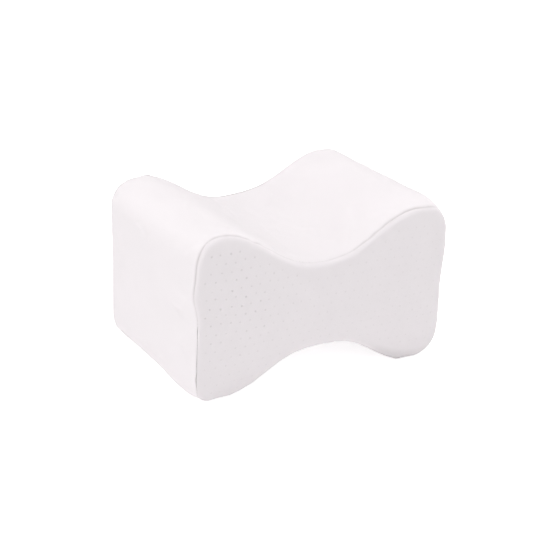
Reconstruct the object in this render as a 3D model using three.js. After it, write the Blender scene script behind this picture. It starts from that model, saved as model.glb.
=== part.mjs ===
// Knee pillow: an hourglass cushion that holds one leg in its top saddle and rests on two feet.
//
// Millimetres, +Z up. X runs along the pillow and Y from its front panel to its back one. The
// origin lies on the surface that the pillow stands on, under its middle.
//
// The filled cushion is one solid, with the band that is sewn round it: over the top saddle,
// down both ends and through the bottom saddle. A stretched cloth panel closes it at the front
// and at the back, and the sewn seam is the groove between a panel and the band.

import * as THREE from 'three';
import { mergeVertices } from 'three/addons/utils/BufferGeometryUtils.js';

// Overall sizes
const LENGTH = 250;
const DEPTH = 180;
const MID_HEIGHT = 75;

// Each foot is pressed flat where it stands.
const SOLE_PRESS = 0.8;

// The filling pushes the cloth out, more in the middle of each face than along the seams.
const BAND_CROWN = 1;
const PANEL_CROWN = 3;

// The rounding between the band and a panel, the panel's cloth and its clearance to the filling
const EDGE_ROUNDING = 5.5;
const PANEL_THICKNESS = 2.6;
const PANEL_GAP = 0.3;

// How square the lobes' outer corners are: 2 is an ellipse, and more is squarer.
const CORNER_SQUARENESS = 2.65;
// How flat a saddle's bottom is: 1 is a plain wave, and more is flatter.
const SADDLE_FLATNESS = 1.3;

// How far a saddle stays from mid height, and how far an end wall is drawn in at mid height
const SADDLES = {
  top: { front: 39.1, back: 43.4 },
  bottom: { front: 41.7, back: 41.4 },
};
const END_WALLS = {
  left: { front: 2.3, back: 0.4 },
  right: { front: 1.3, back: 1.5 },
};

// One row for each lobe, at its front and its back. crest: how far from the middle it is
// highest. rise: how far from mid height it reaches there. shoulder: how far its outer
// rounding runs down the end wall.
const FOOT_RISE = MID_HEIGHT + SOLE_PRESS;
const LOBES = {
  topLeft: {
    front: { crest: 99.5, rise: 77.3, shoulder: 41 },
    back: { crest: 93, rise: 75.5, shoulder: 31 },
  },
  topRight: {
    front: { crest: 103, rise: 75.3, shoulder: 35 },
    back: { crest: 95.5, rise: 76, shoulder: 30 },
  },
  bottomRight: {
    front: { crest: 91, rise: FOOT_RISE, shoulder: 36 },
    back: { crest: 98, rise: FOOT_RISE, shoulder: 30 },
  },
  bottomLeft: {
    front: { crest: 101, rise: FOOT_RISE, shoulder: 19 },
    back: { crest: 102, rise: FOOT_RISE, shoulder: 19 },
  },
};

// How finely the outline and the faces are divided
const STEPS = { saddle: 11, corner: 7, wall: 4, band: 6, face: 4 };

// The seam's section, across the rounding: depth in from the face, inset from the outline
const PANEL_EDGE = [
  { depth: 0, inset: EDGE_ROUNDING },
  { depth: 0.35, inset: 3.2 },
  { depth: 1.2, inset: 1.7 },
  { depth: 2.1, inset: 1.2 },
  { depth: PANEL_THICKNESS, inset: 1.8 },
];
const BAND_EDGE = [
  { depth: PANEL_THICKNESS + PANEL_GAP, inset: 1.9 },
  { depth: 3.5, inset: 0.9 },
  { depth: 4.4, inset: 0.3 },
  { depth: EDGE_ROUNDING, inset: 0 },
];

// Where the faces' rings close up: a ridge along the middle, this share of the outline's length
const RIDGE_SHARE = 0.72;

// Points closer than this are one point.
const WELD_DISTANCE = 1e-4;

const COVER_WHITE = new THREE.MeshStandardMaterial({ color: 0xf3eff0, roughness: 0.95, metalness: 0 });
const PANEL_WHITE = new THREE.MeshStandardMaterial({ color: 0xf0ebec, roughness: 0.95, metalness: 0 });

// A quarter of the outline, from the middle of a saddle over the lobe to the middle of the end
// wall, as points with x from the middle and y from mid height, both positive
function quarterOutline({ crest, rise, shoulder }, saddle, drawnIn) {
  const points = [];
  const reach = LENGTH / 2 - crest;
  for (let i = 0; i < STEPS.saddle; i++) {
    const share = i / STEPS.saddle;
    const wave = (1 - Math.cos(Math.PI * share ** SADDLE_FLATNESS)) / 2;
    points.push(new THREE.Vector2(crest * share, saddle + (rise - saddle) * wave));
  }
  for (let i = 0; i < STEPS.corner; i++) {
    const turn = (Math.PI / 2) * (i / STEPS.corner);
    const out = Math.sin(turn) ** (2 / CORNER_SQUARENESS);
    const down = 1 - Math.cos(turn) ** (2 / CORNER_SQUARENESS);
    points.push(new THREE.Vector2(crest + reach * out, rise - shoulder * down));
  }
  for (let i = 0; i <= STEPS.wall; i++) {
    const height = (rise - shoulder) * (1 - i / STEPS.wall);
    const pull = (1 + Math.cos(Math.PI * (height / (rise - shoulder)))) / 2;
    points.push(new THREE.Vector2(LENGTH / 2 - drawnIn * pull, height));
  }
  return points;
}

// The value of a row, this share of the way from its front to its back
function between(row, share) {
  return THREE.MathUtils.lerp(row.front, row.back, share);
}

// A lobe's row, this share of the way from its front to its back
function lobeBetween({ front, back }, share) {
  return {
    crest: THREE.MathUtils.lerp(front.crest, back.crest, share),
    rise: THREE.MathUtils.lerp(front.rise, back.rise, share),
    shoulder: THREE.MathUtils.lerp(front.shoulder, back.shoulder, share),
  };
}

// The whole outline at a distance y from the middle of the depth: a closed loop that starts at
// the middle of the left end wall and runs over the top
function outlineAt(y) {
  const share = y / DEPTH + 0.5;
  const quarter = (side, end) => {
    const lobe = side + end[0].toUpperCase() + end.slice(1);
    return quarterOutline(lobeBetween(LOBES[lobe], share), between(SADDLES[side], share),
      between(END_WALLS[end], share));
  };
  const mirrored = (points, x, z) => points.map((p) => new THREE.Vector2(p.x * x, p.y * z));
  const topLeft = mirrored(quarter('top', 'left'), -1, 1).reverse();
  const topRight = quarter('top', 'right');
  const bottomRight = mirrored(quarter('bottom', 'right'), 1, -1).reverse();
  const bottomLeft = mirrored(quarter('bottom', 'left'), -1, -1);
  return [topLeft, topRight, bottomRight, bottomLeft].flatMap((points) => points.slice(0, -1));
}

// The outline moved outwards by a distance, or inwards by a negative one
function offset(outline, distance) {
  const count = outline.length;
  return outline.map((point, i) => {
    const along = outline[(i + 1) % count].clone().sub(outline[(i + count - 1) % count]);
    const outward = new THREE.Vector2(-along.y, along.x).normalize();
    return point.clone().addScaledVector(outward, distance);
  });
}

// A ring of the skin in space. No point goes below the surface that the feet stand on.
function ring(outline, y) {
  return outline.map((point) => new THREE.Vector3(point.x, y, Math.max(0, MID_HEIGHT + point.y)));
}

// The rings of a face, from the ridge in its middle out to its edge ring. The two points of the
// edge that lie over and under each other meet on the ridge. The face swells out, towards the
// front (side -1) or the back (side 1).
function faceRings(edge, side) {
  const count = edge.length;
  const ridge = edge.map((point, i) => {
    const middle = point.clone().add(edge[(count - i) % count]).multiplyScalar(0.5);
    middle.x *= RIDGE_SHARE;
    return middle;
  });
  return Array.from({ length: STEPS.face }, (_, i) => {
    const share = Math.sin((Math.PI / 2) * (i / STEPS.face));
    const swell = PANEL_CROWN * (1 - share ** 2) * side;
    return edge.map((point, k) => {
      const at = ridge[k].clone().lerp(point, share);
      at.y += swell;
      return at;
    });
  });
}

// A closed skin through rings of equal length. The first and the last ring are folded flat, and
// their paired points meet.
function skin(rings) {
  const count = rings[0].length;
  const indices = [];
  for (let row = 0; row < rings.length - 1; row++) {
    for (let i = 0; i < count; i++) {
      const next = (i + 1) % count;
      const [a, b] = [row * count + i, row * count + next];
      const [c, d] = [a + count, b + count];
      indices.push(a, d, c, a, b, d);
    }
  }
  const geometry = new THREE.BufferGeometry().setFromPoints(rings.flat());
  geometry.setIndex(indices);
  const welded = mergeVertices(geometry, WELD_DISTANCE);
  welded.computeVertexNormals();
  return welded;
}

// The rings of one seam section, at the front (side -1) or the back (side 1)
function edgeRings(section, side) {
  return section.map(({ depth, inset }) => {
    const y = side * (DEPTH / 2 - depth);
    return ring(offset(outlineAt(y), -inset), y);
  });
}

// The filled cushion with its band, between the two panels
function cushionBody() {
  const front = edgeRings(BAND_EDGE, -1);
  const back = edgeRings(BAND_EDGE, 1).reverse();
  const reach = DEPTH / 2 - EDGE_ROUNDING;
  const band = [];
  for (let i = 1; i < STEPS.band; i++) {
    const share = (2 * i) / STEPS.band - 1;
    const y = reach * share;
    band.push(ring(offset(outlineAt(y), BAND_CROWN * (1 - share ** 2)), y));
  }
  const frontFace = faceRings(front[0], -1);
  const backFace = faceRings(back[back.length - 1], 1).reverse();
  return skin([...frontFace, ...front, ...band, ...back, ...backFace]);
}

// A cloth panel: its outer face and its inner one swell alike, so it is equally thick all over.
function panel(side) {
  const edge = edgeRings(PANEL_EDGE, side);
  const outer = faceRings(edge[0], side);
  const inner = faceRings(edge[edge.length - 1], side).reverse();
  const rings = [...outer, ...edge, ...inner];
  return skin(side < 0 ? rings : rings.reverse());
}

function namedMesh(name, geometry, material) {
  const mesh = new THREE.Mesh(geometry, material);
  mesh.name = name;
  return mesh;
}

const pillow = new THREE.Group();
pillow.add(namedMesh('cushion_body', cushionBody(), COVER_WHITE));
pillow.add(namedMesh('front_panel', panel(-1), PANEL_WHITE));
pillow.add(namedMesh('back_panel', panel(1), PANEL_WHITE));

export default pillow;
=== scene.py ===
"""Dresses the knee pillow's frame: a stuffed cushion, pinholed knit panels, sewn seams and a studio.

Metres, +Z up, in the frame's own axes: X along the pillow, Y from the front panel to the back one.
"""

import functools
import math

import bpy
import numpy as np
from bpy.props import FloatProperty, FloatVectorProperty, IntProperty, PointerProperty
from mathutils import Matrix, Vector
from mathutils.geometry import delaunay_2d_cdt
from mathutils.kdtree import KDTree


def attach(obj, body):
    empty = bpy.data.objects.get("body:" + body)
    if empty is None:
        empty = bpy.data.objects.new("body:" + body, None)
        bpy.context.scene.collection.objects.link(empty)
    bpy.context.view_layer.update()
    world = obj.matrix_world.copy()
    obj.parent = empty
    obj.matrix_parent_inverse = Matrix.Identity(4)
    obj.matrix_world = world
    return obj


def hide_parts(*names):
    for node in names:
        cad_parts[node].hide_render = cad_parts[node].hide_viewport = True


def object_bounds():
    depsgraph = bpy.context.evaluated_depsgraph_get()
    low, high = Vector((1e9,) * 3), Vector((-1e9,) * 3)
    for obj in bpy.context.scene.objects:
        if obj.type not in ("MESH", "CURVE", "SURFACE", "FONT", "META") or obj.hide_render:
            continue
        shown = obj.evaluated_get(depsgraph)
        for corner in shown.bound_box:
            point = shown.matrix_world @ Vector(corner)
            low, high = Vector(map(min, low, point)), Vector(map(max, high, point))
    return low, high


bl_info = {
    "name": "Knee Pillow",
    "version": (1, 0, 0),
    "blender": (4, 5, 0),
    "location": "3D View > Sidebar > Knee Pillow",
    "description": "Stuffed cushion, pinholed panels, sewn seams and studio for the knee pillow",
    "category": "Object",
}

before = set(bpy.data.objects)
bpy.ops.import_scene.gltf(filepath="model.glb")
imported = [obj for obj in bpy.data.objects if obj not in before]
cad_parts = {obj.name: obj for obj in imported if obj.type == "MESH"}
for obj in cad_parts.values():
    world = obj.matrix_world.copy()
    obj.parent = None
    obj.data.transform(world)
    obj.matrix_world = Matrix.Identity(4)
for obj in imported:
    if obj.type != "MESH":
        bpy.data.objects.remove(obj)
CAD_LOW, CAD_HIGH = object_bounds()

# Sizes that the frame's solids are built on
DEPTH = 0.18
MID_HEIGHT = 0.075
EDGE_ROUNDING = 0.0055
PANEL_CROWN = 0.003
BODY = "cushion_body"
PANELS = {"front": "front_panel", "back": "back_panel"}

# Where a face's rings close up: a ridge that reaches this far from the middle
RIDGE_REACH = 0.09

# How finely the pieces are divided
COLUMNS = 560
BAND_STEP = 0.0017
FACE_ROWS = 9
SIM_COLUMNS = 232
SIM_BAND_ROWS = 44
SIM_FACE_ROWS = 12
SIM_FRAMES = 20
EVENING_PASSES = 50
NEIGHBOURS = 10
FIT_DEGREE = 4
FINE_STEPS = 6000

# The seam lies SEAM_DEPTH behind the flat face. The band's shoulder sinks to it over SHOULDER,
# and the band's rows are closer together over FINE_SHOULDERS of its widths.
SEAM_DEPTH = 0.0046
SEAM_REACH = DEPTH / 2 - SEAM_DEPTH
SEAM_SINK = 0.0026
SHOULDER = 0.0058
SHOULDER_CURL = 3.0
SHOULDER_ROWS = 15
FINE_SHOULDERS = 1.6

# How far the cover tucks in and back behind the seam, and from there to the filling's flat end
TUCK_IN = 0.0012
TUCK_BACK = 0.0014
LINING_GAP = 0.0036

# How far the painted shade in the seam's groove reaches over the band, and the painted shade's colour
PAINTED_SHADE_WIDTH = 0.0013
PAINTED_SHADE_COLOR = (0.60, 0.565, 0.575)

# How much darker the knit's mottle, with the painted shade in the gaps between its loops, and the
# thread's twist are, as shares of their colour
MOTTLE_AND_GAP_SHADE = 0.965
TWIST_SHADE = 0.85

# The panel's rolled lip, from under the seam to the face's rim. Each row has its depth in from the
# flat face, its inset from the outline, and how dark the painted shade of the groove is there.
PANEL_LIP = (
    (0.00440, 0.00360, 1.0),
    (0.00440, 0.00220, 1.0),
    (0.00420, 0.00130, 0.8),
    (0.00360, 0.00100, 0.4),
    (0.00275, 0.00120, 0.12),
    (0.00190, 0.00180, 0.0),
    (0.00110, 0.00270, 0.0),
    (0.00050, 0.00380, 0.0),
    (0.00010, 0.00520, 0.0),
    (-0.00015, 0.00660, 0.0),
)
LIP_STEPS = 3
LIP_LEAD = 0.0010
LIP_FADE = 0.0042

# How much of the cloth's gathers the lip has, and how much it stands out with them and the dents
LIP_GATHERS = 0.7
LIP_STAND = 0.7

# The panel's cloth, and its inner side, which follows a share LINING_LOSS less of the seam's shift
PANEL_THICKNESS = 0.0024
LINING_ROWS = 4
LINING_INSET = 0.0052
LINING_LOSS = 0.8
FULL_SHIFT_DEPTH = 0.0040

# The panel's face: how wide its crown rises from the lip, the grid of its points, and how many
# grid steps these stay off the rim and off a pinhole
CROWN_WIDTH = 0.045
GRID_STEP = 0.0021
RIM_CLEARANCE = 0.6
HOLE_CLEARANCE = 0.45


def spot(x, z, reach, **measures):
    """A place on the outline, its reach along the seam, and what the seam does there."""
    return {"x": x, "z": z, "reach": reach, **measures}


# Places where a seam leaves its plain course, each with its reach along the seam.
# out: how far the cover stands out there, or is drawn in. groove: how much deeper the groove is,
# as a share, which also scales the painted shade in it. lip: how much wider the lip rolls, as a share.
# behind: how much further behind the face the seam runs. lead: how much further in the lip starts.
# shade: how far the groove's painted shade spreads over the lip, darkening its underside.
SEAM_SPOTS = {
    "front": (
        spot(0.056, 0.127, 0.028, out=0.0034),
        spot(-0.060, 0.132, 0.022, out=0.0015),
        spot(-0.122, 0.101, 0.012, out=0.0022),
        spot(0.107, 0.149, 0.020, out=-0.0052),
        spot(0.125, 0.113, 0.038, out=0.0029),
        spot(-0.102, 0.000, 0.026, out=-0.0048, shade=0.45),
        spot(0.000, 0.114, 0.024, out=-0.0018, groove=-0.3),
        spot(0.000, 0.075, 0.900, groove=-0.32),
        spot(-0.125, 0.040, 0.056, groove=-0.75, lip=-0.75),
        spot(-0.125, 0.052, 0.058, behind=-0.0030),
        spot(-0.121, 0.122, 0.024, groove=0.30),
        spot(0.092, 0.149, 0.016, groove=0.20),
        spot(-0.085, 0.148, 0.030, lip=0.4),
        spot(0.100, 0.149, 0.024, lip=0.5),
        spot(-0.035, 0.121, 0.026, groove=-0.4),
        spot(0.034, 0.118, 0.013, lip=0.3),
        spot(0.080, 0.002, 0.034, lip=1.0, behind=0.0030, shade=0.75),
    ),
    "back": (
        spot(0.000, 0.075, 0.900, groove=-0.45, lead=0.0006),
        spot(-0.087, 0.150, 0.007, lead=-0.0014),
        spot(0.016, 0.118, 0.024, out=0.0016),
        spot(0.052, 0.128, 0.032, out=0.0010, groove=-0.35),
    ),
}
FULL_REACH = 0.055
DRAWN_REACH = 0.011

# A groove's least depth as a share, how uneven the lip is, and how far a seam wanders
LEAST_GROOVE = 0.15
LIP_UNEVENNESS = 0.09
SEAM_WANDER = 0.00035
WANDER_REACH = 0.012

# Dents where the stitched cloth puckers, all equally wide: x and z on the outline, and depth
PUCKER_WIDTH = 0.0026
PUCKERS = {
    "front": (
        (-0.114, 0.143, 0.0006),
        (-0.070, 0.141, 0.0003),
        (-0.057, 0.133, 0.0003),
        (-0.124, 0.083, 0.0005),
        (0.029, 0.117, 0.0004),
        (0.047, 0.124, 0.0004),
        (0.060, 0.131, 0.0003),
        (0.078, 0.142, 0.0004),
    ),
    "back": (
        (0.110, 0.140, 0.0005),
        (0.040, 0.122, 0.0004),
        (-0.060, 0.131, 0.0004),
        (-0.125, 0.070, 0.0004),
    ),
}

# How far the stitched cloth gathers in from a seam, and how strongly on average
PUCKER_REACH = 0.009
MEAN_GATHERS = 0.55

# The lumps: the share of small ones, how far from a seam they are full, and their share at it
SMALL_LUMPS = 0.3
LUMP_FADE = 0.02
LUMPS_AT_SEAM = 0.1

# A stitch: how deep it lies as a share of the groove, half its length, its bow and its lean, the
# width of its ends as a share, and how finely it is divided
STITCH_DEPTH = 0.86
STITCH_HALF = 0.0010
STITCH_BOW = 0.00035
STITCH_LEAN = 0.00012
STITCH_END = 0.55
STITCH_SIDES = 6
STITCH_BENDS = 6
STITCH_SEED = 83
FLOOR_CLEARANCE = 0.0001

# Places this close together are one place.
SAME_PLACE = 1e-5
TINY = 1e-6


class CushionSettings(bpy.types.PropertyGroup):
    pressure: FloatProperty(
        name="Pressure", description="How hard the filling pushes the cover out", default=4.0, min=0)
    slack: FloatProperty(
        name="Slack", description="How much longer the cover is cut than the filling",
        default=0.012, min=0)
    crown: FloatProperty(
        name="Crown", description="The furthest that the filling's even swelling may reach",
        default=0.0008, min=0, unit="LENGTH")
    wrinkles: FloatProperty(
        name="Wrinkles", description="The furthest that a wrinkle may leave the swelling round it",
        default=0.0004, min=0, unit="LENGTH")
    lumps: FloatProperty(
        name="Lumps", description="Height of the filling's broad unevenness", default=0.00045, min=0,
        unit="LENGTH")
    puckers: FloatProperty(
        name="Puckers", description="Height of the gathers along the seams", default=0.00032, min=0,
        unit="LENGTH")
    color: FloatVectorProperty(
        name="Band colour", description="Colour of the band's plain knit", subtype="COLOR", size=3,
        default=(0.875, 0.832, 0.850), min=0, max=1)


class PanelSettings(bpy.types.PropertyGroup):
    pitch: FloatProperty(
        name="Pinhole pitch", description="Distance between the pinholes of a row", default=0.009,
        min=0.003, unit="LENGTH")
    radius: FloatProperty(
        name="Pinhole radius", description="Radius of a pinhole's mouth", default=0.00078, min=0.0002,
        unit="LENGTH")
    sink: FloatProperty(
        name="Pinhole depth", description="Depth of a pinhole", default=0.0005, min=0, unit="LENGTH")
    margin: FloatProperty(
        name="Margin", description="Distance from the lip's rim to the nearest pinhole's middle",
        default=0.0018, min=0.0018, unit="LENGTH")
    color: FloatVectorProperty(
        name="Panel colour", description="Colour of the panels' pinholed knit", subtype="COLOR", size=3,
        default=(0.86, 0.817, 0.836), min=0, max=1)


class SeamSettings(bpy.types.PropertyGroup):
    stitch: FloatProperty(
        name="Stitch", description="Distance from one stitch to the next", default=0.0032, min=0.001,
        unit="LENGTH")
    thread: FloatProperty(
        name="Thread", description="Diameter of the sewing thread", default=0.00036, min=0.0001,
        unit="LENGTH")
    color: FloatVectorProperty(
        name="Thread colour", description="Colour of the sewing thread", subtype="COLOR", size=3,
        default=(0.80, 0.77, 0.775), min=0, max=1)


class StageSettings(bpy.types.PropertyGroup):
    azimuth: FloatProperty(
        name="Azimuth", description="Camera's turn round the pillow", default=math.radians(-29.97),
        subtype="ANGLE")
    elevation: FloatProperty(
        name="Elevation", description="Camera's height above the horizon", default=math.radians(22.24),
        subtype="ANGLE")
    roll: FloatProperty(
        name="Roll", description="Camera's tilt to the side", default=math.radians(1.62),
        subtype="ANGLE")
    distance: FloatProperty(
        name="Distance", description="From the camera to the pillow's middle", default=1.310, min=0.1,
        unit="LENGTH")
    lens: FloatProperty(
        name="Lens", description="Focal length over sensor width", default=2.616, min=0.1)
    shift_x: FloatProperty(
        name="Shift across", description="Picture shift across, in picture widths", default=-0.0029)
    shift_y: FloatProperty(
        name="Shift up", description="Picture shift up, in picture widths", default=-0.0110)
    floor: FloatVectorProperty(
        name="Floor colour", description="Colour of the pale floor", subtype="COLOR", size=3,
        default=(0.9, 0.9, 0.9), min=0, max=1)
    glow: FloatProperty(
        name="Floor glow", description="Light that the floor gives off, as a light table does",
        default=0.20, min=0)
    bleach: FloatProperty(
        name="Bleach", description="How much paler the camera sees the floor, as in a cut-out picture",
        default=0.42, min=0)
    room: FloatProperty(
        name="Room light", description="Strength of the even light from all round", default=0.28, min=0)
    lamps: IntProperty(
        name="Lamp power", description="Scale of the soft boxes' power", default=100, min=0,
        subtype="PERCENTAGE")


# Smooth curves through evenly spaced values

def spline_controls(values, axis):
    """Control values of the closed cubic spline that runs through the values along an axis."""
    count = values.shape[axis]
    weights = (4 + 2 * np.cos(2 * np.pi * np.arange(count) / count)) / 6
    shape = [1] * values.ndim
    shape[axis] = count
    return np.fft.ifft(np.fft.fft(values, axis=axis) / weights.reshape(shape), axis=axis).real


def spline_at(controls, where, axis):
    """The closed spline's values at places from 0 to 1 along an axis."""
    count = controls.shape[axis]
    place = np.asarray(where) * count
    first = np.floor(place).astype(int)
    f = place - first
    shape = [1] * controls.ndim
    shape[axis] = len(f)
    basis = ((1 - f) ** 3, 3 * f**3 - 6 * f**2 + 4, -3 * f**3 + 3 * f**2 + 3 * f + 1, f**3)
    return sum(
        np.take(controls, (first + k - 1) % count, axis=axis) * (b / 6).reshape(shape)
        for k, b in enumerate(basis))


class Ripples:
    """A smooth random field: waves of about one length in all directions, the same each run."""

    def __init__(self, seed, length, count=9):
        draw = np.random.default_rng(seed)
        direction = draw.normal(size=(count, 3))
        direction /= np.linalg.norm(direction, axis=1)[:, None]
        self.waves = direction * (2 * np.pi / length) * draw.uniform(0.7, 1.35, (count, 1))
        self.phase = draw.uniform(0, 2 * np.pi, count)
        self.scale = math.sqrt(2 / count)

    def at(self, points):
        return np.sin(points @ self.waves.T + self.phase).sum(axis=-1) * self.scale


class Outline:
    """The pillow's outline at any depth, smooth through the band rings of the frame's solid."""

    def __init__(self):
        rings = self.band_rings()
        depths = np.array(sorted(rings))
        controls = np.array([spline_controls(rings[y], 0) for y in depths])
        self.points = controls.shape[1]
        flat = controls.reshape(len(depths), -1)
        self.fit = np.polyfit(depths / DEPTH, flat, FIT_DEGREE)
        self.places, self.length = self.even_places()

    @staticmethod
    def band_rings():
        """Rings of the solid by their depth, each from the middle of the left end over the top."""
        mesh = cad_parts[BODY].data
        points = np.unique(np.array([v.co[:] for v in mesh.vertices]).round(6), axis=0)
        reach = DEPTH / 2 - EDGE_ROUNDING + SAME_PLACE
        a_little = 1e-4
        rings = {}
        for y in np.unique(points[:, 1].round(5)):
            if abs(y) > reach:
                continue
            ring = points[np.abs(points[:, 1] - y) < SAME_PLACE][:, [0, 2]]
            turn = np.arctan2(ring[:, 1] - MID_HEIGHT, ring[:, 0])
            rings[float(y)] = ring[np.argsort((np.pi - turn + a_little) % (2 * np.pi))]
        return rings

    def even_places(self):
        """Where to sample the spline so that the columns are equally far apart, and its length."""
        fine = np.linspace(0, 1, FINE_STEPS, endpoint=False)
        loop = spline_at(self.controls(0), fine, 0)
        steps = np.hypot(*(np.roll(loop, -1, axis=0) - loop).T)
        run = np.concatenate([[0], np.cumsum(steps)])
        return (run / run[-1], np.append(fine, 1)), run[-1]

    def controls(self, y):
        """Control values of the outline's spline at a depth."""
        powers = (y / DEPTH) ** np.arange(FIT_DEGREE, -1, -1)
        return np.tensordot(powers, self.fit, 1).reshape(self.points, 2)

    def at(self, y, columns, inset=0.0):
        """The outline's (x, z) points at a depth, moved in by an inset."""
        where = np.interp(np.arange(columns) / columns, *self.places)
        loop = spline_at(self.controls(y), where, 0)
        return loop - self.outward(loop) * np.reshape(inset, (-1, 1))

    @staticmethod
    def outward(loop):
        """The direction out of a loop at each of its points."""
        along = np.roll(loop, -1, axis=0) - np.roll(loop, 1, axis=0)
        normal = np.column_stack([-along[:, 1], along[:, 0]])
        return normal / np.linalg.norm(normal, axis=1)[:, None]


outline = Outline()


def in_space(loop, y):
    """A loop of (x, z) points at a depth, as points in space that don't go under the floor."""
    return np.column_stack([loop[:, 0], np.broadcast_to(y, len(loop)), np.maximum(loop[:, 1], 0)])


def face_rows(edge, rows, side, crown):
    """Rows of a face from its ridge out to just before its edge ring, swelling out by a crown."""
    index = np.arange(len(edge))
    turn = 2 * np.pi * index / len(edge)
    ridge = (edge + edge[-index]) / 2
    ridge[:, 0] = -RIDGE_REACH * np.cos(turn)
    ridge[:, 2] = MID_HEIGHT + (ridge[:, 2] - MID_HEIGHT) * np.sin(turn) ** 2
    share = np.sin(np.pi / 2 * np.arange(rows) / rows)[:, None, None]
    faces = ridge + (edge - ridge) * share
    faces[:, :, 1] += side * crown * (1 - share[:, :, 0] ** 2)
    return faces


def ring_faces(rows, columns, closed_front=True, closed_back=True):
    """Quads of a skin through rows of points. At a closed end the row is folded on its ridge."""
    index = np.arange(rows * columns).reshape(rows, columns)
    mirror = (-np.arange(columns)) % columns
    if closed_front:
        index[0] = np.minimum(index[0], index[0][mirror])
    if closed_back:
        index[-1] = np.minimum(index[-1], index[-1][mirror])
    a, b = index[:-1], np.roll(index[:-1], -1, axis=1)
    d, c = index[1:], np.roll(index[1:], -1, axis=1)
    return np.stack([a, b, c, d], axis=-1).reshape(-1, 4)


def mesh_object(name, points, faces):
    """An object of a mesh without its unused points, its faces pointing out."""
    used = np.unique(np.concatenate([np.ravel(f) for f in faces]) if isinstance(faces, list) else faces)
    renumber = np.full(len(points), -1)
    renumber[used] = np.arange(len(used))
    mesh = bpy.data.meshes.new(name)
    mesh.from_pydata(points[used].tolist(), [], [renumber[np.asarray(f)].tolist() for f in faces])
    mesh.validate()
    piece = bpy.data.objects.new(name, mesh)
    bpy.context.scene.collection.objects.link(piece)
    return piece, used


def flat_tree(places):
    """A search tree over (x, z) places."""
    tree = KDTree(len(places))
    for i, place in enumerate(places):
        tree.insert((*place, 0), i)
    tree.balance()
    return tree


# The cover's swelling, from a cloth simulation on a coarse skin

def coarse_skin():
    """Rows of the coarse skin, from the ridge of the front face over the band to the back one."""
    front_edge = in_space(outline.at(-DEPTH / 2, SIM_COLUMNS, SEAM_SINK), -SEAM_REACH)
    back_edge = in_space(outline.at(DEPTH / 2, SIM_COLUMNS, SEAM_SINK), SEAM_REACH)
    depths = np.linspace(-SEAM_REACH, SEAM_REACH, SIM_BAND_ROWS)
    band = [in_space(outline.at(y, SIM_COLUMNS), y) for y in depths]
    band[0], band[-1] = front_edge, back_edge
    front = face_rows(front_edge, SIM_FACE_ROWS, -1, PANEL_CROWN + SEAM_DEPTH)
    back = face_rows(back_edge, SIM_FACE_ROWS, 1, PANEL_CROWN + SEAM_DEPTH)[::-1]
    return np.concatenate([front, band, back])


def swollen(rows, pressure, slack):
    """The coarse skin's rows after the filling has pushed the cover out between its seams."""
    faces = ring_faces(len(rows), SIM_COLUMNS)
    piece, used = mesh_object("cover_pattern", rows.reshape(-1, 3), faces)
    pins = piece.vertex_groups.new(name="seams")
    seam_rows = (SIM_FACE_ROWS, SIM_FACE_ROWS + SIM_BAND_ROWS - 1)
    seam = np.concatenate([np.arange(SIM_COLUMNS) + r * SIM_COLUMNS for r in seam_rows])
    pins.add(np.flatnonzero(np.isin(used, seam)).tolist(), 1.0, "REPLACE")
    cloth = piece.modifiers.new("Cover", "CLOTH")
    knit = cloth.settings
    knit.quality = 5
    knit.mass = 0.2
    knit.tension_stiffness = knit.compression_stiffness = 18
    knit.shear_stiffness = 8
    knit.bending_stiffness = 0.6
    knit.vertex_group_mass = pins.name
    knit.shrink_min = -slack
    knit.use_pressure = True
    knit.uniform_pressure_force = pressure
    knit.effector_weights.gravity = 0
    scene = bpy.context.scene
    for number in range(1, SIM_FRAMES + 1):
        scene.frame_set(number)
    shown = piece.evaluated_get(bpy.context.evaluated_depsgraph_get())
    moved = rows.reshape(-1, 3).copy()
    moved[used] = np.array([v.co[:] for v in shown.data.vertices])
    bpy.data.objects.remove(piece)
    scene.frame_set(1)
    moved = moved.reshape(rows.shape)
    index = np.arange(SIM_COLUMNS)
    lower = np.minimum(index, -index % SIM_COLUMNS)
    for ridge in (0, -1):
        moved[ridge] = moved[ridge][lower]
    return moved


def limited(moves, limit):
    """Moves whose length nears a limit and never passes it."""
    length = np.maximum(np.linalg.norm(moves, axis=-1, keepdims=True), TINY)
    return moves * (limit * np.tanh(length / limit) / length)


def evened(moves, pinned, passes):
    """Moves averaged with their neighbours again and again, with the pinned rows kept still."""
    for _ in range(passes):
        moves = (np.roll(moves, 1, axis=1) + 2 * moves + np.roll(moves, -1, axis=1)) / 4
        moves[1:-1] = (moves[:-2] + 2 * moves[1:-1] + moves[2:]) / 4
        moves[pinned] = 0
    return moves


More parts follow.
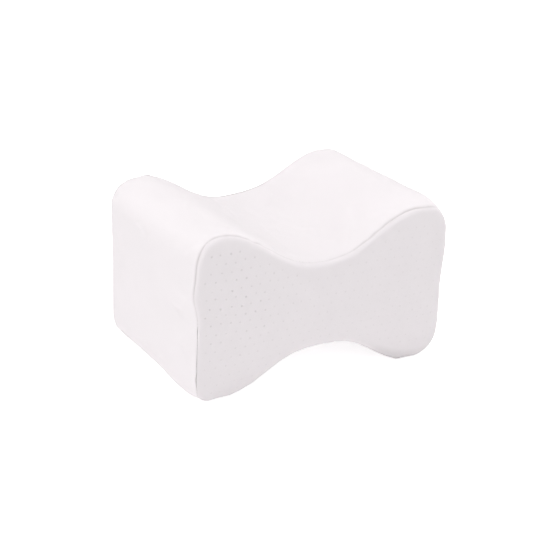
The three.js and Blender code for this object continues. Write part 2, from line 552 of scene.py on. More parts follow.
class Swelling:
    """How far the filling moves the cover: over the band, and out of the two faces."""

    def __init__(self, pressure, slack, crown, wrinkles):
        rows = coarse_skin()
        moves = np.zeros_like(rows)
        first, last = SIM_FACE_ROWS, SIM_FACE_ROWS + SIM_BAND_ROWS - 1
        swell = swollen(rows, pressure, slack) - rows
        even = evened(swell.copy(), (first, last), EVENING_PASSES)
        moves = limited(even, crown) + limited(swell - even, wrinkles)
        band = moves[first:last + 1]
        there_and_back = np.concatenate([band, -band[-2:0:-1]])
        self.controls = spline_controls(spline_controls(there_and_back, 0), 1)
        self.faces = {}
        for name, part in (("front", slice(0, first)), ("back", slice(last + 1, None))):
            points = rows[part].reshape(-1, 3)[:, [0, 2]]
            self.faces[name] = points, moves[part].reshape(-1, 3)[:, 1]

    def over_band(self, depths, columns):
        """Moves of the band's rows at the depths given."""
        places = np.clip((np.asarray(depths) + SEAM_REACH) / (2 * SEAM_REACH), 0, 1) / 2
        rows = spline_at(self.controls, places, 0)
        where = np.arange(columns) / columns
        return spline_at(rows, where, 1)

    def out_of_face(self, name, points):
        """Moves along Y of (x, z) points on a face, from the coarse points near them."""
        known, moves = self.faces[name]
        tree = flat_tree(known)
        out = np.empty(len(points))
        for k, point in enumerate(points):
            found = tree.find_n((*point, 0), NEIGHBOURS)
            reach = found[-1][2] + TINY
            weights = np.array([(1 - distance / reach) ** 2 + TINY for _, _, distance in found])
            out[k] = (weights * moves[[i for _, i, _ in found]]).sum() / weights.sum()
        return out


@functools.cache
def cover_swelling(pressure, slack, crown, wrinkles):
    """The swelling, simulated once for the cushion and the panels."""
    return Swelling(pressure, slack, crown, wrinkles)


# The unevenness that a stuffed, sewn cover has

BROAD = Ripples(seed=11, length=0.115)
SMALL = Ripples(seed=23, length=0.034, count=14)


def seam_ripples(front_seed, back_seed, **waves):
    """The random fields of the two seams."""
    return {"front": Ripples(front_seed, **waves), "back": Ripples(back_seed, **waves)}


GATHERS = seam_ripples(37, 41, length=0.0115, count=7)
STRENGTH = seam_ripples(53, 59, length=0.06)
WANDER = seam_ripples(61, 67, length=0.07, count=6)
LIP_SIZE = seam_ripples(73, 79, length=0.03, count=6)


def lumps(points, height):
    """Height of the filling's lumps at points in space."""
    return height * (BROAD.at(points) + SMALL_LUMPS * SMALL.at(points))


class Seam:
    """The course of the seam round the front or the back, at a number of columns."""

    def __init__(self, name, columns):
        self.name = name
        self.side = -1 if name == "front" else 1
        y = self.side * SEAM_REACH
        self.line = in_space(outline.at(y, columns), y)
        self.spots = [(self.nearness(where), where) for where in SEAM_SPOTS[name]]
        self.groove = np.clip(1 + self.total("groove"), LEAST_GROOVE, 1)
        self.lip = 1 + self.total("lip") + LIP_UNEVENNESS * LIP_SIZE[name].at(self.line)
        # How far painted shade spreads over the lip's underside, at the feet.
        self.shade = self.total("shade")
        self.lead = LIP_LEAD * self.groove + self.total("lead")
        self.shift = SEAM_WANDER * WANDER[name].at(self.line) - self.side * self.total("behind")
        self.dents = sum(
            depth * self.nearness(spot(x, z, PUCKER_WIDTH)) for x, z, depth in PUCKERS[name])

    def nearness(self, where):
        """How near each column is to a place on the outline: from 1 there to 0 past its reach."""
        apart = np.hypot(self.line[:, 0] - where["x"], self.line[:, 2] - where["z"])
        return np.exp(-((apart / where["reach"]) ** 2))

    def total(self, what):
        """One measure of the spots, added up at each column."""
        return sum(share * where.get(what, 0) for share, where in self.spots)

    def stray(self, distance):
        """How far the cover stands out from the outline at a distance from the seam."""
        out = np.zeros(len(self.line))
        for share, where in self.spots:
            stray = where.get("out", 0)
            across = FULL_REACH if stray > 0 else DRAWN_REACH
            out += stray * share * np.exp(-((distance / across) ** 2))
        return out

    def gathers(self, height):
        """Height of the gathers at the seam."""
        varied = np.clip(STRENGTH[self.name].at(self.line), -1, 1)
        strength = MEAN_GATHERS + (1 - MEAN_GATHERS) * varied
        return height * GATHERS[self.name].at(self.line) * strength


# Materials

def node(tree, kind, x, y, **values):
    """A new node with its properties and inputs set."""
    made = tree.nodes.new(kind)
    made.location = (x, y)
    for key, value in values.items():
        if hasattr(made, key):
            setattr(made, key, value)
        else:
            made.inputs[key.replace("_", " ")].default_value = value
    return made


def math_node(tree, operation, x, y, first, second=None):
    """The result of a sum whose terms are numbers or sockets."""
    made = node(tree, "ShaderNodeMath", x, y, operation=operation)
    for socket, value in zip(made.inputs, (first, second)):
        if isinstance(value, (int, float)):
            socket.default_value = value
        elif value is not None:
            tree.links.new(value, socket)
    return made.outputs[0]


def group_tree(name, inputs, outputs):
    """A node group with its sockets: the tree, the node of its inputs and the one of its outputs."""
    tree = bpy.data.node_groups.new(name, "ShaderNodeTree")
    for socket, default in inputs.items():
        kind = "NodeSocketVector" if default is None else "NodeSocketFloat"
        made = tree.interface.new_socket(name=socket, in_out="INPUT", socket_type=kind)
        if default is not None:
            made.default_value = default
    for socket in outputs:
        tree.interface.new_socket(name=socket, in_out="OUTPUT", socket_type="NodeSocketFloat")
    return tree, node(tree, "NodeGroupInput", -1100, 0), node(tree, "NodeGroupOutput", 700, 0)


def bumped(tree, shader, height, strength, distance):
    """Joins a height to the shader as relief."""
    bump = node(tree, "ShaderNodeBump", -450, -150, Strength=strength, Distance=distance)
    tree.links.new(height, bump.inputs["Height"])
    tree.links.new(bump.outputs["Normal"], shader.inputs["Normal"])


def mixed(tree, x, y, share, first, second):
    """A mix of two colours, the first of which may be a socket."""
    mix = node(tree, "ShaderNodeMix", x, y, data_type="RGBA", B=(*second, 1))
    tree.links.new(share, mix.inputs["Factor"])
    if isinstance(first, bpy.types.NodeSocket):
        tree.links.new(first, mix.inputs["A"])
    else:
        mix.inputs["A"].default_value = (*first, 1)
    return mix.outputs["Result"]


def new_material(name, **inputs):
    """A material with its shader's inputs set, its node tree and its shader."""
    material = bpy.data.materials.new(name)
    material.use_nodes = True
    shader = material.node_tree.nodes["Principled BSDF"]
    for key, value in inputs.items():
        shader.inputs[key.replace("_", " ")].default_value = value
    return material, material.node_tree, shader


def knit_group():
    """Rows of interlocked loops: a height and a mask of the gaps for painted shade, from a pattern in
    metres.
    """
    tree, inside, outside = group_tree(
        "knit_loops", {"Pattern": None, "Column": 0.0010, "Row": 0.0008}, ("Height", "Gap"))
    lean, fullness, relief = 1.7, 1.4, 0.42
    parts = node(tree, "ShaderNodeSeparateXYZ", -900, 0)
    tree.links.new(inside.outputs["Pattern"], parts.inputs[0])
    across = math_node(tree, "DIVIDE", -700, 150, parts.outputs[0], inside.outputs["Column"])
    along = math_node(tree, "DIVIDE", -700, -150, parts.outputs[1], inside.outputs["Row"])
    place = math_node(tree, "FRACT", -540, 150, across)
    leg = math_node(tree, "PINGPONG", -380, 150, place, 0.5)
    slope = math_node(tree, "MULTIPLY", -220, 150, leg, lean)
    loop = math_node(tree, "ADD", -60, -60, along, slope)
    wave = math_node(tree, "SINE", 100, -60, math_node(tree, "MULTIPLY", 20, -200, loop, 2 * math.pi))
    column = math_node(tree, "SINE", 100, 150, math_node(tree, "MULTIPLY", 20, 260, place, math.pi))
    full = math_node(tree, "ADD", 200, -160, wave, fullness)
    body = math_node(tree, "MULTIPLY", 260, 40, full, column)
    height = math_node(tree, "MULTIPLY", 420, 40, body, relief)
    gap_shade = math_node(tree, "SUBTRACT", 540, -140, 1.0, height)
    tree.links.new(height, outside.inputs["Height"])
    tree.links.new(gap_shade, outside.inputs["Gap"])
    return tree


def nap_group():
    """The brushed surface of worn knit: a fine fuzzy height and a soft mottle of the colour."""
    tree, inside, outside = group_tree(
        "brushed_nap", {"Place": None, "Fuzz Scale": 900.0, "Mottle Scale": 28.0}, ("Height", "Mottle"))
    fuzz = node(tree, "ShaderNodeTexNoise", -400, 150, Detail=3, Roughness=0.6)
    mottle = node(tree, "ShaderNodeTexNoise", -400, -150, Detail=3, Roughness=0.55)
    for texture, scale in ((fuzz, "Fuzz Scale"), (mottle, "Mottle Scale")):
        tree.links.new(inside.outputs["Place"], texture.inputs["Vector"])
        tree.links.new(inside.outputs[scale], texture.inputs["Scale"])
    tree.links.new(fuzz.outputs["Fac"], outside.inputs["Height"])
    tree.links.new(mottle.outputs["Fac"], outside.inputs["Mottle"])
    return tree


def cloth_material(name, color, column, row, relief, rough):
    """White knit: loops and nap as relief, a faint mottle, and painted shade in its gaps, grooves and
    pinholes.
    """
    material, tree, shader = new_material(
        name, Roughness=rough, Specular_IOR_Level=0.25, Sheen_Weight=0.22, Sheen_Roughness=0.55,
        Sheen_Tint=(1, 0.98, 0.98, 1))
    groups = bpy.data.node_groups
    place = node(tree, "ShaderNodeTexCoord", -1500, 100)
    pattern = node(tree, "ShaderNodeUVMap", -1500, -200, uv_map="cut")
    knit = node(tree, "ShaderNodeGroup", -1200, -200, node_tree=groups["knit_loops"],
                Column=column, Row=row)
    nap = node(tree, "ShaderNodeGroup", -1200, 100, node_tree=groups["brushed_nap"])
    tree.links.new(pattern.outputs["UV"], knit.inputs["Pattern"])
    tree.links.new(place.outputs["Object"], nap.inputs["Place"])
    painted_shade = node(tree, "ShaderNodeAttribute", -1200, 400, attribute_name="painted_shade")

    # The mottle's random tone and painted shade in the gaps between the knit's loops darken the colour.
    mottle = math_node(tree, "MULTIPLY", -900, 200, nap.outputs["Mottle"], 0.7)
    gap_shade = math_node(tree, "MULTIPLY", -900, 0, knit.outputs["Gap"], 0.5)
    tone = math_node(tree, "ADD", -800, 150, mottle, gap_shade)
    darker = [value * MOTTLE_AND_GAP_SHADE for value in color]
    mottled_and_gap_shaded = mixed(tree, -700, 300, tone, color, darker)
    # Painted shade: the colour darkens towards the painted shade colour in the grooves, under the lips
    # and in the pinholes.
    shaded = mixed(tree, -450, 300, painted_shade.outputs["Fac"], mottled_and_gap_shaded, PAINTED_SHADE_COLOR)
    tree.links.new(shaded, shader.inputs["Base Color"])

    fuzz = math_node(tree, "MULTIPLY", -900, -300, nap.outputs["Height"], 0.8)
    height = math_node(tree, "ADD", -700, -150, knit.outputs["Height"], fuzz)
    bumped(tree, shader, height, relief, 0.00025)
    return material


def thread_material(color):
    """Spun sewing thread: a fine twist along it and a soft gloss."""
    material, tree, shader = new_material("sewing_thread", Roughness=0.55)
    place = node(tree, "ShaderNodeTexCoord", -1100, 0)
    nap = node(tree, "ShaderNodeGroup", -850, 0, node_tree=bpy.data.node_groups["brushed_nap"],
               Fuzz_Scale=2600)
    tree.links.new(place.outputs["Object"], nap.inputs["Place"])
    darker = [value * TWIST_SHADE for value in color]
    tone = mixed(tree, -450, 150, nap.outputs["Mottle"], color, darker)
    tree.links.new(tone, shader.inputs["Base Color"])
    bumped(tree, shader, nap.outputs["Height"], 0.5, 0.00008)
    return material


# Finishing a piece

def finish_piece(piece, material, replaced):
    """Gives a piece its cloth or thread and smooth shading, hangs it on the root body, and hides the
    nodes that it replaces.
    """
    piece.data.materials.append(material)
    piece.data.shade_smooth()
    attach(piece, "root")
    for name in replaced:
        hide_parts(name)


def paint_shade(piece, values):
    """Stores the painted shade of the seams' grooves, the lips' undersides and the pinholes on the
    piece's points.
    """
    layer = piece.data.attributes.new("painted_shade", "FLOAT", "POINT")
    layer.data.foreach_set("value", np.clip(values, 0, 1).astype(np.float32))


def lay_pattern(piece, pattern):
    """A UV map in metres, from each point's place on the flat cut.

    The pattern is an array of the places, and the cut's length round the piece where it closes on
    itself.
    """
    places, round_length = pattern
    mesh = piece.data
    corners = np.empty(len(mesh.loops), dtype=np.int32)
    mesh.loops.foreach_get("vertex_index", corners)
    cut = places[corners]
    if round_length:
        starts = np.empty(len(mesh.polygons), dtype=np.int32)
        totals = np.empty(len(mesh.polygons), dtype=np.int32)
        mesh.polygons.foreach_get("loop_start", starts)
        mesh.polygons.foreach_get("loop_total", totals)
        face = np.repeat(np.arange(len(starts)), totals)
        furthest = np.maximum.reduceat(cut[:, 0], starts)[face]
        cut[:, 0] += np.where(furthest - cut[:, 0] > round_length / 2, round_length, 0)
    layer = mesh.uv_layers.new(name="cut")
    layer.data.foreach_set("uv", cut.astype(np.float32).ravel())


def band_depths():
    """Depths of the band's rows, closer together on its two shoulders."""
    shoulder = FINE_SHOULDERS * SHOULDER * np.linspace(0, 1, SHOULDER_ROWS) ** 2
    plain = SEAM_REACH - shoulder[-1]
    middle = np.linspace(-plain, plain, round(2 * plain / BAND_STEP))
    return np.concatenate([-SEAM_REACH + shoulder[:-1], middle, SEAM_REACH - shoulder[-2::-1]])


def band_row(y, move, seams, settings):
    """A row of the band at a depth, swollen, lumpy and drawn in at the seams, and its painted shade."""
    row = in_space(outline.at(y, COLUMNS), y)
    out = outline.outward(row[:, [0, 2]])
    lift = lumps(row, settings.lumps) * min(1, (SEAM_REACH - abs(y)) / LUMP_FADE + LUMPS_AT_SEAM)
    along = np.zeros(COLUMNS)
    painted_shade = np.zeros(COLUMNS)
    for seam in seams:
        distance = SEAM_REACH - seam.side * y
        lift += seam.gathers(settings.puckers) * math.exp(-distance / PUCKER_REACH)
        lift += seam.stray(distance) - seam.dents * math.exp(-distance / PUCKER_WIDTH)
        lift -= SEAM_SINK * seam.groove * max(0, 1 - distance / SHOULDER) ** SHOULDER_CURL
        along += seam.shift * math.exp(-((distance / WANDER_REACH) ** 2))
        # Painted shade over the band next to the groove, as dark as the groove is deep.
        painted_shade = np.maximum(painted_shade, seam.groove * math.exp(-((distance / PAINTED_SHADE_WIDTH) ** 2)))
    row += move
    row[:, [0, 2]] += out * lift[:, None]
    row[:, 1] += along
    row[:, 2] = np.maximum(row[:, 2], 0)
    return row, painted_shade


def tucked_end(edge, side):
    """Rows of the filling's flat end, from its ridge to where the cover tucks in at the seam."""
    out = outline.outward(edge[:, [0, 2]])
    tucked, inner = edge.copy(), edge.copy()
    tucked[:, [0, 2]] -= out * TUCK_IN
    tucked[:, 1] -= side * TUCK_BACK
    inner[:, [0, 2]] -= out * (TUCK_IN + LINING_GAP)
    inner[:, 1] = side * np.minimum(SEAM_REACH, np.abs(edge[:, 1]))
    return np.concatenate([face_rows(inner, FACE_ROWS, side, PANEL_CROWN), [inner, tucked]])


class KNEEPILLOW_OT_cushion(bpy.types.Operator):
    """Builds the stuffed cushion with the knit band sewn round it"""

    bl_idname = "kneepillow.cushion"
    bl_label = "Cushion"

    def execute(self, context):
        settings = context.scene.knee_cushion
        swelling = cover_swelling(settings.pressure, settings.slack, settings.crown, settings.wrinkles)
        seams = [Seam(name, COLUMNS) for name in PANELS]
        depths = band_depths()
        moves = swelling.over_band(depths, COLUMNS)
        band = [band_row(y, move, seams, settings) for y, move in zip(depths, moves)]
        rows = np.array([row for row, _ in band])
        painted_shades = np.array([painted_shade for _, painted_shade in band])
        front = tucked_end(rows[0], -1)
        back = tucked_end(rows[-1], 1)[::-1]
        skin = np.concatenate([front, rows, back])
        # Painted shade: full over the filling's hidden ends, and next to the grooves over the band.
        shade = np.concatenate([np.ones(front.shape[:2]), painted_shades, np.ones(back.shape[:2])])
        faces = ring_faces(len(skin), COLUMNS)
        piece, used = mesh_object("stuffed_cushion", skin.reshape(-1, 3), faces)
        paint_shade(piece, shade.reshape(-1)[used])
        cut = np.empty(skin.shape[:2] + (2,))
        cut[:, :, 0] = np.arange(COLUMNS) / COLUMNS * outline.length
        cut[:, :, 1] = skin[:, :, 1]
        lay_pattern(piece, (cut.reshape(-1, 2)[used], outline.length))
        material = cloth_material(
            "band_knit", settings.color, column=0.0010, row=0.0008, relief=0.35, rough=0.9)
        finish_piece(piece, material, [BODY])
        return {"FINISHED"}


class Pinholes:
    """The pinholes of one panel: staggered rows, each hole a little off its place.

    The cloth opens them most where the filling stretches it.
    """

    # Rings of a hole: share of the mouth's radius, points, share of the depth, painted shade
    RINGS = (
        (0.0, 1, 1.0, 0.62),
        (0.42, 8, 0.96, 0.60),
        (0.72, 10, 0.72, 0.48),
        (1.0, 12, 0.30, 0.30),
        (1.35, 12, 0.06, 0.10),
        (1.6, 12, 0.0, 0.0),
    )
    # Where the cloth is stretched most, and how open the holes are where it is slack
    STRETCHED = spot(-0.095, 0.100, 0.048)
    SLACK_SHARE = 0.34

    # Half the length and height of the field of holes, and how far above mid height it lies
    FIELD = (0.13, 0.08)
    RISE = 0.002
    STRAY = 0.0005

    # A shut hole's share of the radius, what opening adds to it, and the widest hole's share
    SHUT_WIDTH = 0.85
    OPEN_WIDTH = 0.25
    WIDEST = 1.2

    # The least and the greatest of a hole's chance shares: of opening and depth, and of radius
    OPENING = (0.5, 1.1)
    WIDTH = (0.85, 1.1)
    SEED = 71

    def __init__(self, settings, inside, seed):
        draw = np.random.default_rng(seed)
        row_step = settings.pitch * math.sqrt(3) / 2
        half_length, half_height = self.FIELD
        places = []
        for r, z in enumerate(np.arange(-half_height, half_height, row_step)):
            shift = settings.pitch / 2 * (r % 2)
            for x in np.arange(-half_length, half_length, settings.pitch) + shift:
                places.append((x, z + MID_HEIGHT + self.RISE))
        places = np.array(places) + draw.normal(0, self.STRAY, (len(places), 2))
        self.reach = self.RINGS[-1][0] * settings.radius * self.WIDEST
        self.centres = places[inside(places, settings.margin)]
        count = len(self.centres)
        most = self.STRETCHED
        apart = np.hypot(self.centres[:, 0] - most["x"], self.centres[:, 1] - most["z"])
        stretch = np.exp(-((apart / most["reach"]) ** 2))
        self.opened = self.SLACK_SHARE + (1 - self.SLACK_SHARE) * stretch
        self.opened *= draw.uniform(*self.OPENING, count)
        self.radius = settings.radius * draw.uniform(*self.WIDTH, count)
        self.radius *= self.SHUT_WIDTH + self.OPEN_WIDTH * self.opened
        self.sink = settings.sink * draw.uniform(*self.OPENING, count) * self.opened
        self.turn = draw.uniform(0, 2 * math.pi, count)

    def points(self):
        """All rings' (x, z) points, how deep each lies and its painted shade."""
        places, depths, shades = [], [], []
        for share, count, depth, shade in self.RINGS:
            angle = self.turn[:, None] + 2 * np.pi * np.arange(count) / count
            away = np.stack([np.cos(angle), np.sin(angle)], axis=-1)
            ring = self.centres[:, None, :] + (share * self.radius)[:, None, None] * away
            places.append(ring.reshape(-1, 2))
            depths.append(np.repeat(self.sink * depth, count))
            # Painted shade in each ring, darker where the hole is more open.
            shades.append(np.repeat(self.opened * shade, count))
        return np.concatenate(places), np.concatenate(depths), np.concatenate(shades)


def inside_test(loop):
    """A function that says which (x, z) points lie inside a loop by at least a margin."""
    nxt = np.roll(loop, -1, axis=0)

    def inside(points, margin):
        keep = np.zeros(len(points), dtype=bool)
        edge = nxt - loop
        for k, point in enumerate(points):
            offset = point - loop
            share = np.clip((offset * edge).sum(1) / (edge**2).sum(1), 0, 1)
            distance = np.hypot(*(offset - edge * share[:, None]).T).min()
            rises = (loop[:, 1] > point[1]) != (nxt[:, 1] > point[1])
            rise = np.where(rises, edge[:, 1], 1)
            crossing = loop[:, 0] + edge[:, 0] * (point[1] - loop[:, 1]) / rise
            odd = (rises & (crossing > point[0])).sum() % 2 == 1
            keep[k] = odd and distance >= margin
        return keep

    return inside


class KNEEPILLOW_OT_panels(bpy.types.Operator):
    """Builds the two pinholed panels, stretched over the front and the back"""

    bl_idname = "kneepillow.panels"
    bl_label = "Panels"

    def execute(self, context):
        settings = context.scene.knee_panel
        cushion = context.scene.knee_cushion
        material = cloth_material(
            "panel_knit", settings.color, column=0.0011, row=0.0009, relief=0.45, rough=0.92)
        for seed, name in enumerate(PANELS, start=Pinholes.SEED):
            self.build(name, seed, settings, cushion, material)
        return {"FINISHED"}

    @staticmethod
    def build(name, seed, settings, cushion, material):
        """Builds one panel: its lip, its face with the pinholes, and its inner side."""
        seam = Seam(name, COLUMNS)
        side = seam.side
        lip, lip_shades = lip_rows(seam, cushion.puckers * LIP_GATHERS)
        rim = lip[-1]
        inside = inside_test(rim[:, [0, 2]])
        holes = Pinholes(settings, inside, seed)
        places, origin, triangles, sink, shade = face_mesh(rim[:, [0, 2]], inside, holes)
        height = face_height(seam, places, rim, cushion)
        face = np.column_stack([places[:, 0], side * (DEPTH / 2 + height - sink), places[:, 1]])
        on_rim = origin < COLUMNS
        face[on_rim] = rim[origin[on_rim]]

        lining = lining_rows(seam)
        rows = np.concatenate([lip[::-1], lining])
        rings = rows.reshape(-1, 3)
        points = np.concatenate([rings, face])
        where = len(rings) + np.arange(len(face))
        where[on_rim] = origin[on_rim]
        triangles = where[triangles]
        a, b, c = points[triangles].transpose(1, 0, 2)
        turned = np.cross(b - a, c - a)[:, 1] * side < 0
        triangles[turned] = triangles[turned][:, ::-1]
        quads = ring_faces(len(rows), COLUMNS, closed_front=False)[:, ::-side]
        piece, used = mesh_object(f"{name}_knit_panel", points, quads.tolist() + triangles.tolist())

        # Painted shade: the lip's, full over the hidden inner side, and the pinholes' on the face.
        shades = np.concatenate([lip_shades[::-1].ravel(), np.ones(lining[..., 0].size), shade])
        paint_shade(piece, shades[used])
        lay_pattern(piece, (points[used][:, [0, 2]], None))
        finish_piece(piece, material, [PANELS[name]])
        loop = outline.at(side * DEPTH / 2, COLUMNS)


def lip_section():
    """The lip's section in fine steps, smooth through PANEL_LIP: rows of depth, inset and painted
    shade.
    """
    known = np.array(PANEL_LIP)
    ends = np.vstack([2 * known[0] - known[1], known, 2 * known[-1] - known[-2]])
    steps = [
        b + t / 2 * (c - a + t * (2 * a - 5 * b + 4 * c - d + t * (3 * (b - c) + d - a)))
        for a, b, c, d in zip(ends, ends[1:], ends[2:], ends[3:])
        for t in np.arange(LIP_STEPS) / LIP_STEPS
    ]
    return np.array([*steps, known[-1]])


def panel_row(seam, depth, inset, pull, out):
    """A ring of the panel at a depth in from the flat face, and an inset from the outline.

    It follows the seam's shift by the share pull, and stands out by the distance out.
    """
    y = seam.side * (DEPTH / 2 - depth) + seam.shift * pull
    middle = seam.side * (DEPTH / 2 - np.mean(depth))
    loop = outline.at(middle, COLUMNS, inset - seam.stray(0) - out)
    return in_space(loop, y + seam.side * out * (1 - pull))


def lip_rows(seam, height):
    """Rings of the panel from under the seam over the rolled lip to the face's rim, and their painted
    shade.
    """
    section = lip_section()
    gathers = seam.gathers(height)
    rows, shades = [], []
    for k, (depth, inset, shade) in enumerate(section):
        up = k / (len(section) - 1)
        over = math.sin(math.pi * up)
        dented = seam.dents * math.exp(-(((inset - LIP_LEAD) / LIP_FADE) ** 2))
        stand = depth if depth > 0 else depth * seam.lip
        wide = seam.lead + (inset - LIP_LEAD) * seam.lip
        pull = min(1, max(0, depth / FULL_SHIFT_DEPTH))
        rows.append(panel_row(seam, stand, wide, pull, LIP_STAND * (gathers * over - dented)))
        away = min(1, (inset - LIP_LEAD) / (section[-1][1] - LIP_LEAD))
        # Painted shade over the lip: the groove's, and more over the lip's underside at the feet.
        shades.append(np.maximum(shade * seam.groove, seam.shade * (1 - away)))
    return np.array(rows), np.array(shades)


def lining_rows(seam):
    """Rings of the panel's inner side, from under the seam to the ridge in its middle."""
    first_depth, first_inset, _ = PANEL_LIP[0]
    rows = []
    for share in np.linspace(0, 1, LINING_ROWS + 1)[1:]:
        depth = first_depth + (PANEL_THICKNESS - first_depth) * math.sin(share * math.pi / 2)
        inset = first_inset + (LINING_INSET - first_inset) * share
        wide = seam.lead + (inset - LIP_LEAD) * seam.lip
        dented = LIP_STAND * seam.dents * (1 - share)
        rows.append(panel_row(seam, depth, wide, 1 - LINING_LOSS * share, -dented))
    inner = face_rows(rows[-1], FACE_ROWS, seam.side, PANEL_CROWN)[::-1]
    return np.concatenate([np.array(rows), inner])


def face_mesh(rim, inside, holes):
    """Triangles that fill the rim, with finer ones round the pinholes.

    These are the places, the point that each comes from, the triangles, how deep each place is
    sunk, and its painted shade.
    """
    hole_points, hole_sink, hole_shade = holes.points()
    grid = np.array([
        (x + GRID_STEP / 2 * (r % 2), z)
        for r, z in enumerate(np.arange(0, CAD_HIGH[2], GRID_STEP * math.sqrt(3) / 2))
        for x in np.arange(CAD_LOW[0], CAD_HIGH[0], GRID_STEP)
    ])
    grid = grid[inside(grid, GRID_STEP * RIM_CLEARANCE)]
    tree = flat_tree(holes.centres)
    apart = holes.reach + GRID_STEP * HOLE_CLEARANCE
    grid = grid[[tree.find((*place, 0))[2] > apart for place in grid]]
    plain = np.zeros(len(grid))
    edge = np.zeros(len(rim))
    seeds = [Vector(place) for place in np.concatenate([rim, hole_points, grid])]
    edges = [(i, (i + 1) % len(rim)) for i in range(len(rim))]
    found, _, faces, origins, *_ = delaunay_2d_cdt(seeds, edges, [], 0, 1e-8, True)
    places = np.array([place[:] for place in found])
    origin = np.array([ids[0] for ids in origins])
    triangles = np.array([list(face) for face in faces])
    on_rim = (origin[triangles] < len(rim)).all(axis=1)
    kept = np.ones(len(triangles), dtype=bool)
    kept[on_rim] = inside(places[triangles[on_rim]].mean(axis=1), 0)
    sink = np.concatenate([edge, hole_sink, plain])[origin]
    shade = np.concatenate([edge, hole_shade, plain])[origin]
    return places, origin, triangles[kept], sink, shade


def face_height(seam, places, rim, cushion):
    """How far places of a face stand out of the flat: crown, swelling, lumps and the lip's foot."""
    tree = flat_tree(rim[:, [0, 2]])
    found = [tree.find((*place, 0)) for place in places]
    nearest = np.array([f[1] for f in found])
    distance = np.array([f[2] for f in found])
    crown = PANEL_CROWN * (1 - (1 - np.clip(distance / CROWN_WIDTH, 0, 1)) ** 2)
    fade = np.clip(distance / LUMP_FADE, 0, 1)
    flat = np.full(len(places), seam.side * DEPTH / 2)
    space = np.column_stack([places[:, 0], flat, places[:, 1]])
    swelling = cover_swelling(cushion.pressure, cushion.slack, cushion.crown, cushion.wrinkles)
    swell = seam.side * swelling.out_of_face(seam.name, places)
    lip = (seam.side * rim[nearest, 1] - DEPTH / 2) * np.exp(-((distance / LIP_FADE) ** 2))
    gathers = seam.gathers(cushion.puckers)[nearest] * np.exp(-distance / PUCKER_REACH)
    ripple = gathers * (1 - np.exp(-distance / LIP_FADE))
    return crown + (swell + lumps(space, cushion.lumps)) * fade + ripple + lip


def stitch_points(middle, out, y, half, lean, thread):
    """Points of one stitch: a bar of thread across the seam, bowed out in its middle."""
    along = np.array([-out[1], out[0]])
    points = []
    for t in np.linspace(-1, 1, STITCH_BENDS):
        radius = thread / 2 * (STITCH_END if abs(t) == 1 else 1)
        for angle in 2 * np.pi * np.arange(STITCH_SIDES) / STITCH_SIDES:
            lift = STITCH_BOW * (1 - t * t) + radius * math.sin(angle)
            shift = lean * t + radius * math.cos(angle)
            x, z = middle + out * lift + along * shift
            points.append((x, y + half * t, max(z, FLOOR_CLEARANCE)))
    return points


def stitch_faces(start):
    """Faces of one stitch, whose points begin at a number: its rings and its two ends."""
    ring = range(STITCH_SIDES)
    last = start + (STITCH_BENDS - 1) * STITCH_SIDES
    faces = []
    for low in range(start, last, STITCH_SIDES):
        for s in ring:
            a, b = low + s, low + (s + 1) % STITCH_SIDES
            faces.append([a, b, b + STITCH_SIDES, a + STITCH_SIDES])
    faces.append([start + s for s in reversed(ring)])
    faces.append([last + s for s in ring])
    return faces


class KNEEPILLOW_OT_stitches(bpy.types.Operator):
    """Sews the thread bars that hold each panel to the band, deep in the seams"""

    bl_idname = "kneepillow.stitches"
    bl_label = "Stitches"

    def execute(self, context):
        settings = context.scene.knee_seam
        material = thread_material(settings.color)
        for name in PANELS:
            self.build(name, settings, material)
        return {"FINISHED"}

    @staticmethod
    def build(name, settings, material):
        """Sews one seam's stitches."""
        seam = Seam(name, round(outline.length / settings.stitch))
        loop = seam.line[:, [0, 2]]
        out = outline.outward(loop)
        sunk = SEAM_SINK * seam.groove * STITCH_DEPTH + seam.dents - seam.stray(0)
        middles = loop - out * sunk[:, None]
        depths = seam.line[:, 1] + seam.shift
        draw = np.random.default_rng(STITCH_SEED + seam.side)
        points, faces = [], []
        for middle, outward, y in zip(middles, out, depths):
            lean = draw.normal(0, STITCH_LEAN)
            half = STITCH_HALF * draw.uniform(0.9, 1.1)
            faces += stitch_faces(len(points))
            points += stitch_points(middle, outward, y, half, lean, settings.thread)
        piece, _ = mesh_object(f"{name}_seam_stitches", np.array(points), faces)
        finish_piece(piece, material, [])


# The studio's soft boxes: name, place, width and power in watts
SOFT_BOXES = (
    ("top_box", (0.0, 0.0, 4.1), 2.9, 111),
    ("front_box", (0.0, -2.9, 3.0), 2.9, 31),
    ("left_box", (-4.1, 0.0, 1.2), 2.9, 62),
    ("right_box", (4.1, 0.0, 1.2), 2.9, 57),
)


def seen_light(tree, given, added):
    """The light that a surface gives, and more where the camera looks at it straight."""
    seen = node(tree, "ShaderNodeLightPath", -700, 0).outputs["Is Camera Ray"]
    bleach = math_node(tree, "MULTIPLY", -500, 0, seen, added)
    return math_node(tree, "ADD", -300, 0, bleach, given)


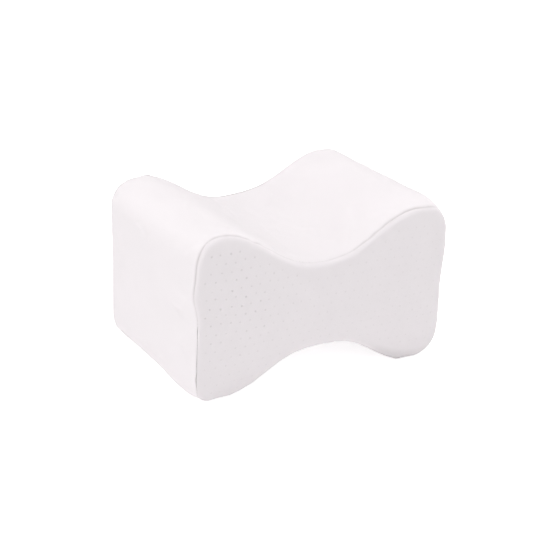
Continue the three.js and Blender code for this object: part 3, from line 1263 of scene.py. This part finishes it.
class KNEEPILLOW_OT_stage(bpy.types.Operator):
    """Lays the pale floor, hangs the soft boxes and sets up the camera"""

    bl_idname = "kneepillow.stage"
    bl_label = "Stage"

    def execute(self, context):
        settings = context.scene.knee_stage
        self.floor(settings)
        self.lights(context, settings)
        self.camera(context, settings)
        return {"FINISHED"}

    @staticmethod
    def floor(settings):
        """Lays the pale floor just under the pillow."""
        bpy.ops.object.select_all(action="DESELECT")
        bpy.ops.mesh.primitive_plane_add(size=30, location=(0, 0, -FLOOR_CLEARANCE))
        floor = bpy.context.active_object
        floor.name = "studio_floor"
        material, tree, shader = new_material(
            "floor_paper", Base_Color=(*settings.floor, 1), Roughness=1, Specular_IOR_Level=0,
            Emission_Color=(1, 1, 1, 1))
        light = seen_light(tree, settings.glow, settings.bleach)
        tree.links.new(light, shader.inputs["Emission Strength"])
        floor.data.materials.append(material)

    @staticmethod
    def lights(context, settings):
        """Lights the room evenly and hangs the soft boxes, aimed at the pillow's middle."""
        world = bpy.data.worlds.new("studio_room")
        context.scene.world = world
        world.use_nodes = True
        background = world.node_tree.nodes["Background"]
        background.inputs["Color"].default_value = (1, 1, 1, 1)
        light = seen_light(world.node_tree, settings.room, 1 - settings.room)
        world.node_tree.links.new(light, background.inputs["Strength"])
        for name, place, width, power in SOFT_BOXES:
            lamp = bpy.data.lights.new(name, "AREA")
            lamp.shape = "SQUARE"
            lamp.size = width
            lamp.energy = power * settings.lamps / 100
            holder = bpy.data.objects.new(name, lamp)
            context.scene.collection.objects.link(holder)
            holder.location = place
            aim = Vector((0, 0, MID_HEIGHT)) - Vector(place)
            holder.rotation_euler = aim.to_track_quat("-Z", "Y").to_euler()

    @staticmethod
    def camera(context, settings):
        """Sets up the camera, aimed from its azimuth and elevation and tilted by its roll."""
        a, e, roll = settings.azimuth, settings.elevation, settings.roll
        back = Vector((math.sin(a) * math.cos(e), -math.cos(a) * math.cos(e), math.sin(e)))
        right = Vector((0, 0, 1)).cross(back).normalized()
        up = back.cross(right)
        rolled_right = right * math.cos(roll) + up * math.sin(roll)
        rolled_up = up * math.cos(roll) - right * math.sin(roll)
        camera = bpy.data.cameras.new("photo_camera")
        camera.sensor_width = 36
        camera.lens = settings.lens * camera.sensor_width
        camera.shift_x = settings.shift_x
        camera.shift_y = settings.shift_y
        camera.clip_start = 0.05
        camera.clip_end = 60
        holder = bpy.data.objects.new("photo_camera", camera)
        context.scene.collection.objects.link(holder)
        place = Matrix((rolled_right, rolled_up, back)).transposed().to_4x4()
        place.translation = Vector((0, 0, MID_HEIGHT)) + back * settings.distance
        holder.matrix_world = place
        context.scene.camera = holder
        context.scene.view_settings.view_transform = "Standard"


class KNEEPILLOW_PT_sidebar(bpy.types.Panel):
    """Lists the pillow's pieces and their sizes"""

    bl_idname = "KNEEPILLOW_PT_sidebar"
    bl_label = "Knee Pillow"
    bl_space_type = "VIEW_3D"
    bl_region_type = "UI"
    bl_category = "Knee Pillow"

    def draw(self, context):
        for operator, group in (
            ("kneepillow.cushion", "knee_cushion"),
            ("kneepillow.panels", "knee_panel"),
            ("kneepillow.stitches", "knee_seam"),
            ("kneepillow.stage", "knee_stage"),
        ):
            box = self.layout.box()
            for name in SETTINGS[group].__annotations__:
                box.prop(getattr(context.scene, group), name)
            box.operator(operator)


SETTINGS = {
    "knee_cushion": CushionSettings,
    "knee_panel": PanelSettings,
    "knee_seam": SeamSettings,
    "knee_stage": StageSettings,
}
CLASSES = (
    *SETTINGS.values(),
    KNEEPILLOW_OT_cushion,
    KNEEPILLOW_OT_panels,
    KNEEPILLOW_OT_stitches,
    KNEEPILLOW_OT_stage,
    KNEEPILLOW_PT_sidebar,
)


def register():
    """Adds the settings, the operators and the sidebar."""
    for made in CLASSES:
        bpy.utils.register_class(made)
    for name, group in SETTINGS.items():
        setattr(bpy.types.Scene, name, PointerProperty(type=group))


def unregister():
    """Takes them out again."""
    for name in SETTINGS:
        delattr(bpy.types.Scene, name)
    for made in reversed(CLASSES):
        bpy.utils.unregister_class(made)


def main():
    """Builds the stage and the pillow."""
    register()
    knit_group()
    nap_group()
    bpy.ops.kneepillow.stage()
    bpy.ops.kneepillow.cushion()
    bpy.ops.kneepillow.panels()
    bpy.ops.kneepillow.stitches()


if __name__ == "__main__":
    main()
